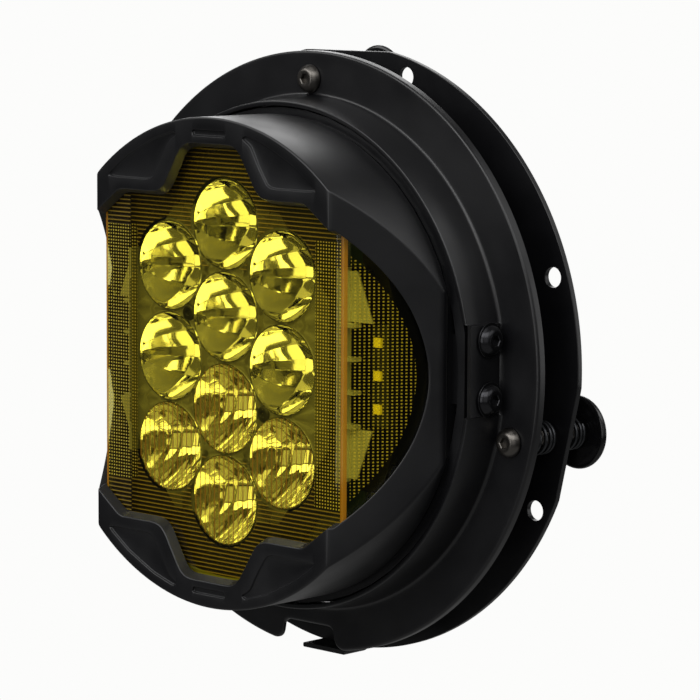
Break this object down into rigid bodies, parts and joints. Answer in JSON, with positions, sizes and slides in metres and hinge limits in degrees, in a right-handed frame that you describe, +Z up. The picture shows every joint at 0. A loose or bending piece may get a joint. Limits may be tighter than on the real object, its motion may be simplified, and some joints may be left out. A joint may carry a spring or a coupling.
{
  "type": "fog light",
  "caption": "Round LED fog light: yellow-lensed pod in a flanged ring, held on a bolt-on mounting plate by sprung aiming screws with thumb knobs.",
  "frame": {"origin": "on the lamp's axis, in the plane of the mounting plate's back face", "axes": "+Y rearwards along the lamp's axis, out of the mounting plate's back; +Z up; +X to the right as seen from the front"},
  "size_m": [0.2028, 0.085, 0.2034],
  "materials": {
    "cast_black": "fine-textured black coat on die-cast aluminium",
    "powder_black": "satin black powder coat on steel sheet",
    "amber_lens": "clear yellow polycarbonate, hard coated",
    "rubber": "matt EPDM",
    "black_oxide": "black oxide",
    "gunmetal": "dark zinc-nickel plate",
    "spring_steel": "oiled black wire",
    "mirror_coat": "vacuum-metallised mirror",
    "white_board": "white solder mask",
    "green_board": "green solder mask",
    "phosphor": "yellow phosphor and silicone",
    "carrier_aluminium": "milled",
    "black_nylon": "moulded, lightly grained"
  },
  "bodies": {
    "mount": {"mounting_plate": "powder_black"},
    "side_adjusters": {"adjuster_screw_right": "gunmetal", "front_spring_right": "spring_steel", "rear_spring_right": "spring_steel", "adjuster_screw_left": "gunmetal", "front_spring_left": "spring_steel", "rear_spring_left": "spring_steel", "front_spring_top": "spring_steel", "rear_spring_top": "spring_steel"},
    "lamp": {"bezel": "cast_black", "outer_lens": "amber_lens", "lens_gasket": "rubber", "bezel_screw_1": "black_oxide", "bezel_screw_2": "black_oxide", "bezel_screw_3": "black_oxide", "bezel_screw_4": "black_oxide", "bezel_screw_5": "black_oxide", "bezel_screw_6": "black_oxide", "reflector": "mirror_coat", "reflector_screw_1": "black_oxide", "reflector_screw_2": "black_oxide", "led_board": "white_board", "led_emitter_1": "phosphor", "led_emitter_2": "phosphor", "led_emitter_3": "phosphor", "led_emitter_4": "phosphor", "led_emitter_5": "phosphor", "led_emitter_6": "phosphor", "led_emitter_7": "phosphor", "led_emitter_8": "phosphor", "led_emitter_9": "phosphor", "led_emitter_10": "phosphor", "led_carrier": "carrier_aluminium", "driver_board": "green_board", "side_tray_right": "mirror_coat", "side_led_board_right": "green_board", "side_led_right_1": "phosphor", "side_led_right_2": "phosphor", "side_led_right_3": "phosphor", "side_tray_left": "mirror_coat", "side_led_board_left": "green_board", "side_led_left_1": "phosphor", "side_led_left_2": "phosphor", "side_led_left_3": "phosphor", "housing": "cast_black", "gland_body": "black_nylon", "gland_nut": "black_nylon", "vent_plug": "black_nylon", "front_ring": "powder_black", "side_screw_right_upper": "black_oxide", "side_screw_right_lower": "black_oxide", "side_screw_left_upper": "black_oxide", "side_screw_left_lower": "black_oxide", "adjuster_screw_top": "gunmetal"},
    "knob_top": {"thumb_knob_top": "black_nylon"},
    "knob_right": {"thumb_knob_right": "black_nylon"},
    "knob_left": {"thumb_knob_left": "black_nylon"}
  },
  "joints": [
    {"name": "yaw_aim", "type": "hinge", "parent": "mount", "child": "side_adjusters", "pos_m": [0, -0.001, 0], "axis": [0, 0, 1], "range_deg": [-2.9, 2.9], "deforming": ["front_spring_right", "rear_spring_right", "front_spring_left", "rear_spring_left"]},
    {"name": "pitch_aim", "type": "hinge", "parent": "side_adjusters", "child": "lamp", "pos_m": [0, -0.01875, -0.02058], "axis": [1, 0, 0], "range_deg": [-2.9, 2.9], "deforming": ["front_spring_top", "rear_spring_top"]},
    {"name": "knob_top_turn", "type": "hinge", "parent": "lamp", "child": "knob_top", "pos_m": [0, 0.0151, 0.0908], "axis": [0, 1, 0], "range_deg": [-2550, 2550]},
    {"name": "knob_right_turn", "type": "hinge", "parent": "side_adjusters", "child": "knob_right", "pos_m": [0.08844, 0.0151, -0.02058], "axis": [0, 1, 0], "range_deg": [-2025, 2025]},
    {"name": "knob_left_turn", "type": "hinge", "parent": "side_adjusters", "child": "knob_left", "pos_m": [-0.08844, 0.0151, -0.02058], "axis": [0, 1, 0], "range_deg": [-2025, 2025]}
  ],
  "couplings": [
    {"joint": "knob_top_turn", "follows": "pitch_aim", "ratio": 874.8},
    {"joint": "knob_right_turn", "follows": "yaw_aim", "ratio": -694.6},
    {"joint": "knob_left_turn", "follows": "yaw_aim", "ratio": 694.6}
  ]
}
